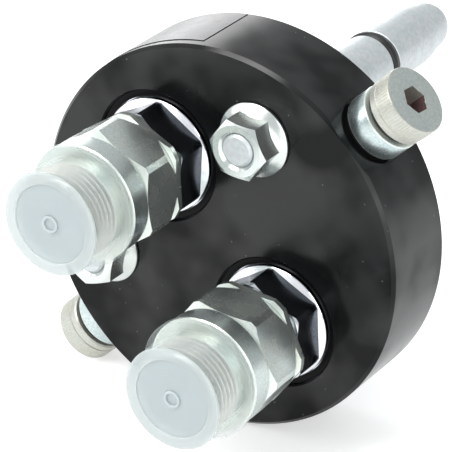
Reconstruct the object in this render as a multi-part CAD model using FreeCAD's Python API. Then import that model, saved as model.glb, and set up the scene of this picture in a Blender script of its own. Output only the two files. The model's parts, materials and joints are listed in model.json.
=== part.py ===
import FreeCAD, Part
import math
import os

# Mobile half of a round two-line hydraulic multi-coupling. All lengths in millimetres.
#
# Frame: +Z up, Y along the axis of the round plate. The origin is the centre of the mating
# face; the guide pins and coupling noses point to +Y, the hose fittings to -Y. The half stands
# on the rim of its plate and on the head of its left roller screw, as it comes to rest on a bench.
#
# Plate frame: before that resting turn, the roller screws lie along X and the couplings are
# spaced along Z. Turned pieces are drawn as (radius, station) outlines, and a station is the
# place along the piece's own axis. On the plate's axis a station is the same as Y.

# Hexagon ends are turned down at this angle
hex_chamfer_angle = 30.0
# Points closer together than this are the same point
same_point = 0.000001

# Plate
plate_radius = 47.5
plate_thickness = 22.5
plate_front_chamfer = 0.8
plate_rear_chamfer = 0.3
roller_flat_depth = 0.7
roller_spot_radius = 8.4
roller_spot_depth = 0.4

# Couplings
coupling_offset = 23.4
counterbore_radius = 16.0
counterbore_depth = 4.0
counterbore_chamfer = 0.4
body_sleeve_radius = 13.05
body_running_gap = 0.05
body_shoulder_radius = 15.6
body_shoulder_length = 2.0
body_boss_radius = 14.2
body_hex_width = 24.5
body_corner_radius = 13.8
body_hex_height = 9.2
body_hex_turn = {"upper": 15.8, "lower": 10.0}
passage_radius = 7.0
port_radius = 8.35
port_depth = 11.5
thread_gap = 0.05
rear_thread_radius = 11.0
rear_thread_length = 9.4
spring_seat_thickness = 3.0
spring_seat_radius = 9.3

# Snap rings that hold the coupling bodies in the plate
snap_ring_thickness = 1.2
snap_ring_groove_depth = 0.85
snap_ring_gap_angle = 24.0
snap_ring_play = 0.1
snap_ring_bore_gap = 0.2

# Seal rings
body_seal_cord = 1.8
body_seal_setback = 3.3
nose_seal_cord = 1.3
nose_seal_setback = 3.3
pin_seal_cord = 2.6
pin_seal_proud = 0.3
seal_side_play = 0.6

# Coupling noses and their valves
nose_radius = 9.85
nose_length = 20.5
nose_shoulder_radius = 12.6
nose_shoulder_length = 2.5
nose_chamfer = 0.6
nose_bore_radius = 7.0
nose_bore_length = 12.5
chamber_radius = 8.3
valve_gap = 0.05
valve_collar_radius = 8.1
valve_collar_length = 2.5
valve_pilot_radius = 5.8
valve_pilot_length = 2.0
valve_stem_radius = 3.0
valve_stem_overrun = 0.5
spring_wire = 1.3
spring_mean_radius = 6.75
spring_turns = 5
seat_flow_holes = 6
seat_flow_hole_radius = 1.2
seat_flow_circle_radius = 4.75

# Hose adapters
sealing_washer_thickness = 1.2
sealing_washer_radius = 12.0
adapter_stud_length = 10.9
adapter_hex_width = 27.0
adapter_corner_radius = 15.15
adapter_hex_length = 14.0
adapter_hex_turn = {"upper": 9.3, "lower": 48.7}
adapter_rear_corner_radius = 14.75
marking_groove_radius = 13.8
marking_groove_front_edge = 4.4
marking_groove_floor_start = 2.0
marking_groove_floor_end = 1.7
marking_groove_rear_edge = 1.3
adapter_front_chamfer_length = 1.7
adapter_front_face_radius = 12.0
adapter_collar_radius = 14.0
adapter_collar_length = 5.4
adapter_thread_radius = 11.0
adapter_thread_length = 10.6
adapter_undercut_depth = 1.0
adapter_undercut_length = 2.0
adapter_bore_radius = 5.75
tube_socket_radius = 7.55
tube_socket_depth = 7.4
tube_cone_depth = 5.9
tube_cone_half_angle = 12.0

# Protective caps
cap_bore_gap = 0.1
cap_seat_gap = 0.1
cap_wall = 1.2
cap_flange_radius = 14.55
cap_flange_length = 2.1
cap_length = 12.5
cap_end_wall = 1.6
cap_recess_radius = 9.5
cap_recess_depth = 0.3
cap_gate_radius = 2.1
cap_gate_bore_radius = 1.4
cap_gate_height = 0.4
cap_corner_radius = 0.8

# Guide pins, each held by a flange nut on the hose side
pin_rim_distance = {"upper": 17.4, "lower": 15.6}
pin_coupling_offset = 13.3
pin_radius = 7.25
pin_length = 60.7
pin_seat_depth = 1.0
pin_seat_gap = 0.1
pin_seal_station = 29.8
pin_taper_start = 47.9
pin_taper_end = 55.2
pin_taper_end_radius = 6.0
pin_tip_radius = 2.4
pin_tip_bulge = 0.75
stud_radius = 4.0
stud_hole_gap = 0.2
stud_end_chamfer = 0.7
nut_hex_width = 13.0
nut_height = 8.0
nut_top_radius = 6.2
nut_flange_radius = 8.95
nut_flange_edge = 1.1
nut_cone_height = 2.6
nut_hex_turn = {"upper": 49.0, "lower": 24.0}

# Roller screws
shoulder_radius = 5.0
screw_thread_radius = 4.0
screw_thread_length = 16.0
tapped_hole_overrun = 1.0
head_radius = 8.15
head_height = 6.4
head_chamfer = 0.3
socket_width = 6.0
socket_depth = 4.4
socket_turn = 26.0
roller_radius = 8.0
roller_length = 6.0
roller_chamfer = 0.4
roller_bore_gap = 0.05
roller_end_play = 0.05
thrust_washer_radius = 6.8
thrust_washer_thickness = 1.3

# Bare label film on the rim
label_thickness = 0.15
label_first_angle = 53.3
label_last_angle = 108.0
label_front_margin = 3.2
label_rear_margin = 0.5

# Stations and places that follow from the sizes above
front_face = -plate_thickness
mid_plate = -plate_thickness / 2
counterbore_floor = front_face + counterbore_depth
body_hex_face = front_face - body_hex_height
body_seal_station = counterbore_floor + body_seal_setback
spring_seat_rear = -rear_thread_length - thread_gap
spring_seat_front = spring_seat_rear - spring_seat_thickness
port_floor = body_hex_face + port_depth
adapter_rear_face = body_hex_face - sealing_washer_thickness
adapter_stud_end = adapter_rear_face + adapter_stud_length
adapter_front_face = adapter_rear_face - adapter_hex_length
collar_face = adapter_front_face - adapter_collar_length
adapter_end = collar_face - adapter_thread_length
cap_open_end = collar_face - cap_seat_gap
cap_closed_end = cap_open_end - cap_length
valve_step = nose_length - nose_bore_length
roller_flat_distance = plate_radius - roller_flat_depth
roller_seat = roller_flat_distance - roller_spot_depth
roller_start = roller_seat + thrust_washer_thickness + roller_end_play
roller_end = roller_start + roller_length
outer_washer_start = roller_end + roller_end_play
head_start = outer_washer_start + thrust_washer_thickness
head_end = head_start + head_height
coupling_places = {"upper": coupling_offset, "lower": -coupling_offset}
screw_turns = {"right": 90.0, "left": -90.0}
pin_sides = {"upper": 1, "lower": -1}
pin_side_offset = {
    name: side * math.sqrt((plate_radius - pin_rim_distance[name]) ** 2 - pin_coupling_offset ** 2)
    for name, side in pin_sides.items()
}

# On a bench the rim and the rim of the left screw's head touch the surface together
head_corner_reach = math.hypot(head_end - head_chamfer, head_radius)
rest_turn = math.degrees(
    math.asin(plate_radius / head_corner_reach)
    - math.atan2(head_radius, head_end - head_chamfer)
)


def turned(outline):
    """Return the solid of a closed (radius, station) outline turned about its own Z axis."""
    points = [FreeCAD.Vector(radius, 0, station) for radius, station in outline]
    wire = Part.makePolygon(points + points[:1])
    return Part.Face(wire).revolve(FreeCAD.Vector(0, 0, 0), FreeCAD.Vector(0, 0, 1), 360)


def ring(outer_radius, inner_radius, start, end):
    """Return a plain tube between two stations."""
    return turned(
        [(inner_radius, start), (outer_radius, start), (outer_radius, end), (inner_radius, end)]
    )


def rod(radius, start, end):
    """Return a plain cylinder between two stations."""
    base = FreeCAD.Vector(0, 0, start)
    return Part.makeCylinder(radius, end - start, base, FreeCAD.Vector(0, 0, 1))


def seal_ring(cord, inner_radius, station):
    """Return a round-section seal ring whose centre plane is at a station."""
    centre = FreeCAD.Vector(0, 0, station)
    return Part.makeTorus(inner_radius + cord / 2, cord / 2, centre, FreeCAD.Vector(0, 0, 1))


def hexagon(width, start, end, turn):
    """Return a hexagonal prism of a width across flats, with a corner at the turn angle."""
    corners = []
    for index in range(6):
        angle = math.radians(turn + 60 * index)
        x = sharp_corner(width) * math.cos(angle)
        y = sharp_corner(width) * math.sin(angle)
        corners.append(FreeCAD.Vector(x, y, start))
    face = Part.Face(Part.makePolygon(corners + corners[:1]))
    return face.extrude(FreeCAD.Vector(0, 0, end - start))


def moved(shape, placement):
    """Return a copy of a shape after a further placement."""
    copy = shape.copy()
    copy.Placement = placement.multiply(shape.Placement)
    return copy


def along_plate_axis(shape, x, z):
    """Place a turned piece parallel to the plate's axis at a point of the plate frame."""
    turn = FreeCAD.Rotation(FreeCAD.Vector(1, 0, 0), -90)
    return moved(shape, FreeCAD.Placement(FreeCAD.Vector(x, 0, z), turn))


def along_screw_axis(shape, turn_angle):
    """Place a turned piece on a roller screw's axis, stations counted from the plate's axis."""
    turn = FreeCAD.Rotation(FreeCAD.Vector(0, 1, 0), turn_angle)
    return moved(shape, FreeCAD.Placement(FreeCAD.Vector(0, mid_plate, 0), turn))


def plate():
    """Black plate with stepped coupling bores, pin seats, roller flats and tapped holes."""
    blank = turned([
        (0, front_face),
        (plate_radius - plate_front_chamfer, front_face),
        (plate_radius, front_face + plate_front_chamfer),
        (plate_radius, -plate_rear_chamfer),
        (plate_radius - plate_rear_chamfer, 0),
        (0, 0),
    ])
    disc = along_plate_axis(blank, 0, 0)
    sleeve_bore = body_sleeve_radius + body_running_gap
    ring_groove_front = counterbore_floor - body_shoulder_length - snap_ring_thickness - snap_ring_play
    bore = turned([
        (0, front_face),
        (counterbore_radius + counterbore_chamfer, front_face),
        (counterbore_radius, front_face + counterbore_chamfer),
        (counterbore_radius, ring_groove_front),
        (counterbore_radius + snap_ring_groove_depth, ring_groove_front),
        (counterbore_radius + snap_ring_groove_depth, counterbore_floor - body_shoulder_length),
        (counterbore_radius, counterbore_floor - body_shoulder_length),
        (counterbore_radius, counterbore_floor),
        (sleeve_bore, counterbore_floor),
        (sleeve_bore, -plate_rear_chamfer),
        (sleeve_bore + plate_rear_chamfer, 0),
        (0, 0),
    ])
    cuts = [along_plate_axis(bore, 0, place) for place in coupling_places.values()]
    pin_hole = turned([
        (0, front_face),
        (stud_radius + stud_hole_gap, front_face),
        (stud_radius + stud_hole_gap, -pin_seat_depth),
        (pin_radius + pin_seat_gap, -pin_seat_depth),
        (pin_radius + pin_seat_gap, 0),
        (0, 0),
    ])
    for offset in pin_side_offset.values():
        cuts.append(along_plate_axis(pin_hole, offset, pin_coupling_offset))
    cuts += roller_seats()
    return disc.cut(cuts)


def roller_seats():
    """Return the flats, spot faces and tapped holes that the roller screws need."""
    seats = []
    tapped_hole = rod(
        screw_thread_radius + thread_gap,
        roller_seat - screw_thread_length - tapped_hole_overrun, plate_radius,
    )
    spot_face = rod(roller_spot_radius, roller_seat, plate_radius)
    for side, turn_angle in screw_turns.items():
        sign = 1 if side == "right" else -1
        low_x = min(sign * roller_flat_distance, sign * plate_radius)
        width = plate_radius - roller_flat_distance
        corner = FreeCAD.Vector(low_x, front_face, -plate_radius)
        seats.append(Part.makeBox(width, plate_thickness, 2 * plate_radius, corner))
        seats.append(along_screw_axis(spot_face, turn_angle))
        seats.append(along_screw_axis(tapped_hole, turn_angle))
    return seats


def sharp_corner(width):
    """Return the radius to the sharp corners of a hexagon of a width across flats."""
    return width / math.sqrt(3)


def end_chamfered_hexagon(width, start, end, turn, start_radius):
    """Return a hexagon with sharp corners that are turned down at its start only."""
    corner = sharp_corner(width)
    rise = (corner - start_radius) * math.tan(math.radians(hex_chamfer_angle))
    envelope = turned([
        (0, start),
        (start_radius, start),
        (corner, start + rise),
        (corner, end),
        (0, end),
    ])
    return hexagon(width, start, end, turn).common(envelope)


def coupling_body(name):
    """Bright hexagon body: port for the adapter in front, sleeve through the plate behind."""
    stock = end_chamfered_hexagon(
        body_hex_width, body_hex_face, front_face, body_hex_turn[name], body_hex_width / 2
    )
    hex_part = stock.common(rod(body_corner_radius, body_hex_face, front_face))
    groove_half = body_seal_cord / 2 + seal_side_play / 2
    groove_radius = body_sleeve_radius + body_running_gap - body_seal_cord
    sleeve = turned([
        (0, front_face),
        (body_boss_radius, front_face),
        (body_boss_radius, counterbore_floor - body_shoulder_length),
        (body_shoulder_radius, counterbore_floor - body_shoulder_length),
        (body_shoulder_radius, counterbore_floor),
        (body_sleeve_radius, counterbore_floor),
        (body_sleeve_radius, body_seal_station - groove_half),
        (groove_radius, body_seal_station - groove_half),
        (groove_radius, body_seal_station + groove_half),
        (body_sleeve_radius, body_seal_station + groove_half),
        (body_sleeve_radius, 0),
        (0, 0),
    ])
    inside = turned([
        (0, body_hex_face),
        (port_radius, body_hex_face),
        (port_radius, port_floor),
        (passage_radius, port_floor),
        (passage_radius, spring_seat_front),
        (spring_seat_radius + thread_gap, spring_seat_front),
        (spring_seat_radius + thread_gap, spring_seat_rear),
        (rear_thread_radius, spring_seat_rear),
        (rear_thread_radius, 0),
        (0, 0),
    ])
    return hex_part.fuse(sleeve).cut(inside)


def snap_ring():
    """Black flat snap ring that lies on the body's shoulder and in the plate's groove."""
    rear = counterbore_floor - body_shoulder_length
    outer_radius = counterbore_radius + snap_ring_groove_depth - snap_ring_play
    inner_radius = body_boss_radius + snap_ring_bore_gap
    whole = ring(outer_radius, inner_radius, rear - snap_ring_thickness, rear)
    half = math.radians(snap_ring_gap_angle / 2)
    reach = 2 * outer_radius
    gap_points = [
        FreeCAD.Vector(0, 0, rear - snap_ring_thickness),
        FreeCAD.Vector(-reach, -reach * math.tan(half), rear - snap_ring_thickness),
        FreeCAD.Vector(-reach, reach * math.tan(half), rear - snap_ring_thickness),
    ]
    wedge = Part.Face(Part.makePolygon(gap_points + gap_points[:1]))
    return whole.cut(wedge.extrude(FreeCAD.Vector(0, 0, snap_ring_thickness)))


def body_seal():
    """Seal ring between a coupling body's sleeve and the plate's bore."""
    inner_radius = body_sleeve_radius + body_running_gap - body_seal_cord
    return seal_ring(body_seal_cord, inner_radius, body_seal_station)


def coupling_nose():
    """Flat-faced nose screwed into the back of a coupling body."""
    groove_station = nose_length - nose_seal_setback
    groove_half = nose_seal_cord / 2 + seal_side_play / 2
    groove_radius = nose_bore_radius + nose_seal_cord
    return turned([
        (chamber_radius, -rear_thread_length),
        (rear_thread_radius - thread_gap, -rear_thread_length),
        (rear_thread_radius - thread_gap, 0),
        (nose_shoulder_radius, 0),
        (nose_shoulder_radius, nose_shoulder_length),
        (nose_radius, nose_shoulder_length),
        (nose_radius, nose_length - nose_chamfer),
        (nose_radius - nose_chamfer, nose_length),
        (nose_bore_radius, nose_length),
        (nose_bore_radius, groove_station + groove_half),
        (groove_radius, groove_station + groove_half),
        (groove_radius, groove_station - groove_half),
        (nose_bore_radius, groove_station - groove_half),
        (nose_bore_radius, valve_step),
        (chamber_radius, valve_step),
    ])


def nose_seal():
    """Seal ring in the nose's bore, round the valve's head."""
    return seal_ring(nose_seal_cord, nose_bore_radius, nose_length - nose_seal_setback)


def valve():
    """Flat-faced valve: head in the nose's bore, collar, spring pilot and guided stem."""
    collar_front = valve_step - valve_collar_length
    pilot_front = collar_front - valve_pilot_length
    stem_end = spring_seat_front - valve_stem_overrun
    return turned([
        (0, nose_length),
        (nose_bore_radius - valve_gap, nose_length),
        (nose_bore_radius - valve_gap, valve_step),
        (valve_collar_radius, valve_step),
        (valve_collar_radius, collar_front),
        (valve_pilot_radius, collar_front),
        (valve_pilot_radius, pilot_front),
        (valve_stem_radius, pilot_front),
        (valve_stem_radius, stem_end),
        (0, stem_end),
    ])


def valve_spring():
    """Coil spring between the spring seat and the valve's collar."""
    first = spring_seat_rear + spring_wire / 2
    last = valve_step - valve_collar_length - spring_wire / 2
    pitch = (last - first) / spring_turns
    helix = Part.makeHelix(pitch, last - first, spring_mean_radius)
    section = Part.makeCircle(
        spring_wire / 2, FreeCAD.Vector(spring_mean_radius, 0, 0), FreeCAD.Vector(0, 1, 0)
    )
    coil = Part.Wire(helix).makePipeShell([Part.Wire(section)], True, True)
    coil.translate(FreeCAD.Vector(0, 0, first))
    return coil


def spring_seat():
    """Perforated disc that carries the spring and guides the valve's stem."""
    seat = ring(
        spring_seat_radius, valve_stem_radius + valve_gap, spring_seat_front, spring_seat_rear
    )
    hole = rod(seat_flow_hole_radius, spring_seat_front, spring_seat_rear)
    holes = []
    for index in range(seat_flow_holes):
        angle = 2 * math.pi * index / seat_flow_holes
        x = seat_flow_circle_radius * math.cos(angle)
        y = seat_flow_circle_radius * math.sin(angle)
        holes.append(hole.translated(FreeCAD.Vector(x, y, 0)))
    return seat.cut(holes)


def sealing_washer():
    """Flat sealing washer between a coupling body and its adapter."""
    return ring(sealing_washer_radius, port_radius, adapter_rear_face, body_hex_face)


def adapter(name):
    """Hose adapter: stud, grooved hexagon, round collar and outside thread with a cone seat."""
    envelope = turned([
        (0, adapter_front_face),
        (adapter_front_face_radius, adapter_front_face),
        (adapter_corner_radius, adapter_front_face + adapter_front_chamfer_length),
        (adapter_corner_radius, adapter_rear_face - marking_groove_front_edge),
        (marking_groove_radius, adapter_rear_face - marking_groove_floor_start),
        (marking_groove_radius, adapter_rear_face - marking_groove_floor_end),
        (adapter_rear_corner_radius, adapter_rear_face - marking_groove_rear_edge),
        (adapter_rear_corner_radius, adapter_rear_face),
        (0, adapter_rear_face),
    ])
    bar = hexagon(
        adapter_hex_width, adapter_front_face, adapter_rear_face, adapter_hex_turn[name]
    )
    hex_part = bar.common(envelope)
    end_chamfer = adapter_undercut_depth
    front = turned([
        (0, adapter_end),
        (adapter_thread_radius - end_chamfer, adapter_end),
        (adapter_thread_radius, adapter_end + end_chamfer),
        (adapter_thread_radius, collar_face - adapter_undercut_length),
        (adapter_thread_radius - adapter_undercut_depth, collar_face - adapter_undercut_length),
        (adapter_thread_radius - adapter_undercut_depth, collar_face),
        (adapter_collar_radius, collar_face),
        (adapter_collar_radius, adapter_front_face),
        (0, adapter_front_face),
    ])
    stud = rod(port_radius - thread_gap, adapter_rear_face, adapter_stud_end)
    cone_widening = tube_cone_depth * math.tan(math.radians(tube_cone_half_angle))
    inside = turned([
        (0, adapter_end),
        (tube_socket_radius + cone_widening, adapter_end),
        (tube_socket_radius, adapter_end + tube_cone_depth),
        (tube_socket_radius, adapter_end + tube_socket_depth),
        (adapter_bore_radius, adapter_end + tube_socket_depth),
        (adapter_bore_radius, adapter_stud_end),
        (0, adapter_stud_end),
    ])
    return hex_part.fuse([front, stud]).cut(inside)


def protective_cap():
    """Translucent push-on cap: grip flange, thin wall, recessed end with its moulding gate."""
    bore_radius = adapter_thread_radius + cap_bore_gap
    outer_radius = bore_radius + cap_wall
    flange_end = cap_open_end - cap_flange_length
    recess_floor = cap_closed_end + cap_recess_depth
    gate_top = recess_floor - cap_gate_height
    corner = cap_corner_radius
    shell = turned([
        (bore_radius, cap_open_end),
        (cap_flange_radius, cap_open_end),
        (cap_flange_radius, flange_end),
        (outer_radius, flange_end),
        (outer_radius, cap_closed_end),
        (cap_recess_radius, cap_closed_end),
        (cap_recess_radius, recess_floor),
        (cap_gate_radius, recess_floor),
        (cap_gate_radius, gate_top),
        (cap_gate_bore_radius, gate_top),
        (cap_gate_bore_radius, recess_floor),
        (0, recess_floor),
        (0, cap_closed_end + cap_end_wall),
        (bore_radius, cap_closed_end + cap_end_wall),
    ])
    outer_edges = [
        edge for edge in shell.Edges
        if edge.Closed
        and abs(edge.BoundBox.ZMin - cap_closed_end) < same_point
        and abs(edge.BoundBox.XMax - outer_radius) < same_point
    ]
    return shell.makeFillet(corner, outer_edges)


def guide_pin():
    """Guide pin: seat in the plate, seal groove, tapered nose and a threaded stud."""
    stud_end = front_face - nut_height
    groove_half = pin_seal_cord / 2 + seal_side_play / 2
    groove_radius = pin_radius + pin_seal_proud - pin_seal_cord
    stem = turned([
        (0, stud_end),
        (stud_radius - stud_end_chamfer, stud_end),
        (stud_radius, stud_end + stud_end_chamfer),
        (stud_radius, -pin_seat_depth),
        (pin_radius, -pin_seat_depth),
        (pin_radius, pin_seal_station - groove_half),
        (groove_radius, pin_seal_station - groove_half),
        (groove_radius, pin_seal_station + groove_half),
        (pin_radius, pin_seal_station + groove_half),
        (pin_radius, pin_taper_start),
        (0, pin_taper_start),
    ])
    return stem.fuse(pin_nose())


def pin_nose():
    """Bullet nose: a taper, then a round shoulder down to a small flat tip."""
    def point(radius, station):
        return FreeCAD.Vector(radius, 0, station)

    shoulder_radius_mid = (pin_taper_end_radius + pin_tip_radius) / 2 + pin_tip_bulge
    shoulder_station_mid = (pin_taper_end + pin_length) / 2 + pin_tip_bulge
    edges = [
        Part.makeLine(point(0, pin_taper_start), point(pin_radius, pin_taper_start)),
        Part.makeLine(point(pin_radius, pin_taper_start), point(pin_taper_end_radius, pin_taper_end)),
        Part.Arc(
            point(pin_taper_end_radius, pin_taper_end),
            point(shoulder_radius_mid, shoulder_station_mid),
            point(pin_tip_radius, pin_length),
        ).toShape(),
        Part.makeLine(point(pin_tip_radius, pin_length), point(0, pin_length)),
        Part.makeLine(point(0, pin_length), point(0, pin_taper_start)),
    ]
    face = Part.Face(Part.Wire(edges))
    return face.revolve(FreeCAD.Vector(0, 0, 0), FreeCAD.Vector(0, 0, 1), 360)


def pin_seal():
    """Seal ring in a guide pin's groove, standing a little proud of the pin."""
    inner_radius = pin_radius + pin_seal_proud - pin_seal_cord
    return seal_ring(pin_seal_cord, inner_radius, pin_seal_station)


def flange_nut(name):
    """Flange nut: thin flange edge, cone and hexagon with a turned-down top."""
    top = front_face - nut_height
    hex_part = end_chamfered_hexagon(
        nut_hex_width, top, front_face, nut_hex_turn[name], nut_top_radius
    )
    flange = turned([
        (0, front_face),
        (nut_flange_radius, front_face),
        (nut_flange_radius, front_face - nut_flange_edge),
        (nut_hex_width / 2, front_face - nut_cone_height),
        (0, front_face - nut_cone_height),
    ])
    bore_radius = stud_radius + thread_gap
    bore = turned([
        (0, top),
        (bore_radius + stud_end_chamfer, top),
        (bore_radius, top + stud_end_chamfer),
        (bore_radius, front_face),
        (0, front_face),
    ])
    return hex_part.fuse(flange).cut(bore)


def roller_screw():
    """Socket-head shoulder screw: thread in the plate, journal for the roller, round head."""
    outline = turned([
        (0, roller_seat - screw_thread_length),
        (screw_thread_radius, roller_seat - screw_thread_length),
        (screw_thread_radius, roller_seat),
        (shoulder_radius, roller_seat),
        (shoulder_radius, head_start),
        (head_radius - head_chamfer, head_start),
        (head_radius, head_start + head_chamfer),
        (head_radius, head_end - head_chamfer),
        (head_radius - head_chamfer, head_end),
        (0, head_end),
    ])
    return outline.cut(
        hexagon(socket_width, head_end - socket_depth, head_end, socket_turn)
    )


def roller():
    """Plain steel roller that a locking cam pulls on."""
    bore_radius = shoulder_radius + roller_bore_gap
    return turned([
        (bore_radius, roller_start),
        (roller_radius - roller_chamfer, roller_start),
        (roller_radius, roller_start + roller_chamfer),
        (roller_radius, roller_end - roller_chamfer),
        (roller_radius - roller_chamfer, roller_end),
        (bore_radius, roller_end),
    ])


def thrust_washer(start):
    """Thin black washer beside a roller."""
    bore_radius = shoulder_radius + roller_bore_gap
    return ring(thrust_washer_radius, bore_radius, start, start + thrust_washer_thickness)


def label_film():
    """Bare label film, bent round the rim above the upper coupling."""
    film = ring(
        plate_radius + label_thickness, plate_radius,
        front_face + label_front_margin, -label_rear_margin,
    )
    reach = 2 * plate_radius
    first = math.radians(label_first_angle)
    last = math.radians(label_last_angle)
    points = [FreeCAD.Vector(0, 0, 0)]
    for angle in (first, (first + last) / 2, last):
        points.append(FreeCAD.Vector(reach * math.cos(angle), 0, reach * math.sin(angle)))
    sector = Part.Face(Part.makePolygon(points + points[:1]))
    block = sector.extrude(FreeCAD.Vector(0, -plate_thickness, 0))
    return along_plate_axis(film, 0, 0).common(block)


def group(shapes):
    """Return separate solids as one node."""
    return Part.makeCompound(shapes)


def make_parts():
    """Return every node's shape by name, in the plate frame."""
    parts = {"plate": plate(), "label_film": label_film()}
    rings = []
    body_seals = []
    nose_seals = []
    washers = []
    for name, place in coupling_places.items():
        parts["coupling_body_" + name] = along_plate_axis(coupling_body(name), 0, place)
        parts["coupling_nose_" + name] = along_plate_axis(coupling_nose(), 0, place)
        parts["valve_" + name] = along_plate_axis(valve(), 0, place)
        parts["valve_spring_" + name] = along_plate_axis(valve_spring(), 0, place)
        parts["spring_seat_" + name] = along_plate_axis(spring_seat(), 0, place)
        parts["hose_adapter_" + name] = along_plate_axis(adapter(name), 0, place)
        parts["protective_cap_" + name] = along_plate_axis(protective_cap(), 0, place)
        rings.append(along_plate_axis(snap_ring(), 0, place))
        body_seals.append(along_plate_axis(body_seal(), 0, place))
        nose_seals.append(along_plate_axis(nose_seal(), 0, place))
        washers.append(along_plate_axis(sealing_washer(), 0, place))
    parts["snap_rings"] = group(rings)
    parts["body_seals"] = group(body_seals)
    parts["nose_seals"] = group(nose_seals)
    parts["sealing_washers"] = group(washers)

    pin_seals = []
    nuts = []
    for name, offset in pin_side_offset.items():
        parts["guide_pin_" + name] = along_plate_axis(guide_pin(), offset, pin_coupling_offset)
        pin_seals.append(along_plate_axis(pin_seal(), offset, pin_coupling_offset))
        nuts.append(along_plate_axis(flange_nut(name), offset, pin_coupling_offset))
    parts["guide_pin_seals"] = group(pin_seals)
    parts["flange_nuts"] = group(nuts)

    thrust_washers = []
    for side, turn_angle in screw_turns.items():
        parts["roller_screw_" + side] = along_screw_axis(roller_screw(), turn_angle)
        parts["roller_" + side] = along_screw_axis(roller(), turn_angle)
        for start in (roller_seat, outer_washer_start):
            thrust_washers.append(along_screw_axis(thrust_washer(start), turn_angle))
    parts["thrust_washers"] = group(thrust_washers)
    return parts


def main():
    """Turn every node to its resting place and write it out."""
    os.makedirs("parts", exist_ok=True)
    for name, shape in make_parts().items():
        shape.rotate(FreeCAD.Vector(0, 0, 0), FreeCAD.Vector(0, 1, 0), -rest_turn)
        shape.exportStep(os.path.join("parts", name + ".step"))
        print(f"{name}: {len(shape.Solids)} solid(s), {shape.Volume:.1f} mm3")
    print(f"resting turn {rest_turn:.3f} degrees")


main()
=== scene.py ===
"""Looks for the mobile half of a round two-line hydraulic multi-coupling.

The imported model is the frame: it says where every piece is and how far it reaches. This script
rebuilds the pieces that show, with their threads, knurling, eased edges and finishes. Sizes are in
millimetres until they reach a mesh. A piece is drawn on its own axis, which is local Z, with its
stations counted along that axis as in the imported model, and is then put where the frame says.
"""

import json
import logging
import math
from collections.abc import Callable, Iterator
from contextlib import contextmanager
from dataclasses import dataclass
from enum import Enum
from functools import cache

import bpy
from mathutils import Matrix, Vector


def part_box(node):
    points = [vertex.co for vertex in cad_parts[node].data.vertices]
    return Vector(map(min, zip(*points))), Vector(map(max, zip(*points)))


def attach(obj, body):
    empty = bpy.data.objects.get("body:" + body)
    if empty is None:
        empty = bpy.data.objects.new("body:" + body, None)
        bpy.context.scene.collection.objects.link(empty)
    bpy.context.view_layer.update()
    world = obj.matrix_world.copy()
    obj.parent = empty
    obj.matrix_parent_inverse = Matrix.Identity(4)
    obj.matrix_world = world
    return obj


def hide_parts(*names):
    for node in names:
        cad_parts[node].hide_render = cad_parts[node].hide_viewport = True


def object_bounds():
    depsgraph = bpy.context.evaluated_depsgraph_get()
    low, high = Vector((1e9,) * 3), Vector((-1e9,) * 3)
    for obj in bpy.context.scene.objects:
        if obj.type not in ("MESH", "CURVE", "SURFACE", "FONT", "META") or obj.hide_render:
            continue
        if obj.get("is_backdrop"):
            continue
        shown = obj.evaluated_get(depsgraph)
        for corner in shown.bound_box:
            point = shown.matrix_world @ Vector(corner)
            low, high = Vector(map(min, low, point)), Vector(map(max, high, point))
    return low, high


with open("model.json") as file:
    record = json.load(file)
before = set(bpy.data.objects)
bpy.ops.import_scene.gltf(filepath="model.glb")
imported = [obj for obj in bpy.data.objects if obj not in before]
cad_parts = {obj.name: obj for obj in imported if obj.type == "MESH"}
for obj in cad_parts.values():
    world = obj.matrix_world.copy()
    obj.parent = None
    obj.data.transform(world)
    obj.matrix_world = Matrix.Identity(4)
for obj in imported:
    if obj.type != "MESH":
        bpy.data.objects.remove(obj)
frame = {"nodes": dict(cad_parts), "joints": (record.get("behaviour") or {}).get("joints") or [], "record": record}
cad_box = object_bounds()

Piece = bpy.types.Object
Material = bpy.types.Material
Socket = bpy.types.NodeSocket
Span = tuple[float, float]
Place = tuple[float, float, float]
Outline = list[tuple[float, float]]

MM = 0.001
DOUBLES = 0.0005  # millimetres between two corners that are merged
OVER = 1.0  # millimetres that a cutter reaches past the face that it opens
NEAR = 0.01  # millimetres between two stations that count as one
HEX_CHAMFER = math.radians(30)  # how steeply the corners of a hexagon are turned down
EASED = math.radians(28)  # edges sharper than this are eased
ALONG = 0.2  # a face runs along an axis while its normal leans less than this to the axis
SQUARE = 0.9  # a face stands square to an axis when its normal leans more than this to it
NOISE_MOST = (0.3, 0.7)  # where nearly all of a noise's values lie
NOISE_MANY = (0.35, 0.65)  # where most of them lie
log = logging.getLogger("multi_coupling")


class Line(Enum):
    """The two hydraulic lines through the plate, and the guide pin beside each."""

    UPPER = "upper"
    LOWER = "lower"

    @property
    def axis(self) -> Vector:
        """A point of the line's axis, in metres."""
        return mount_place("coupling_nose_" + self.value)

    @property
    def pin_axis(self) -> Vector:
        """A point of the guide pin's axis, in metres."""
        return mount_place("guide_pin_" + self.value)

    def pick(self, pair: Span) -> float:
        """Return the line's own value from a pair for upper and lower."""
        return pair[0] if self is Line.UPPER else pair[1]


class Side(Enum):
    """The two roller screws in the plate's rim."""

    RIGHT = "right"
    LEFT = "left"

    @property
    def sign(self) -> int:
        """The direction of the side along the screws' axis."""
        return 1 if self is Side.RIGHT else -1


def mount_place(name: str) -> Vector:
    """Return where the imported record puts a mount, in metres of the row frame."""
    for mount in frame["record"]["mounts"]:
        if mount["name"] == name:
            return Vector(mount["pos_m"])
    raise ValueError(f"the record has no mount named {name}")


def resting_turn() -> float:
    """Return how far the plate lies turned about its own axis, in radians."""
    for joint in frame["joints"]:
        if joint["name"] == "right_roller_spin":
            return math.atan2(joint["axis"][2], joint["axis"][0])
    raise ValueError("the record has no joint for the right roller")


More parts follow.
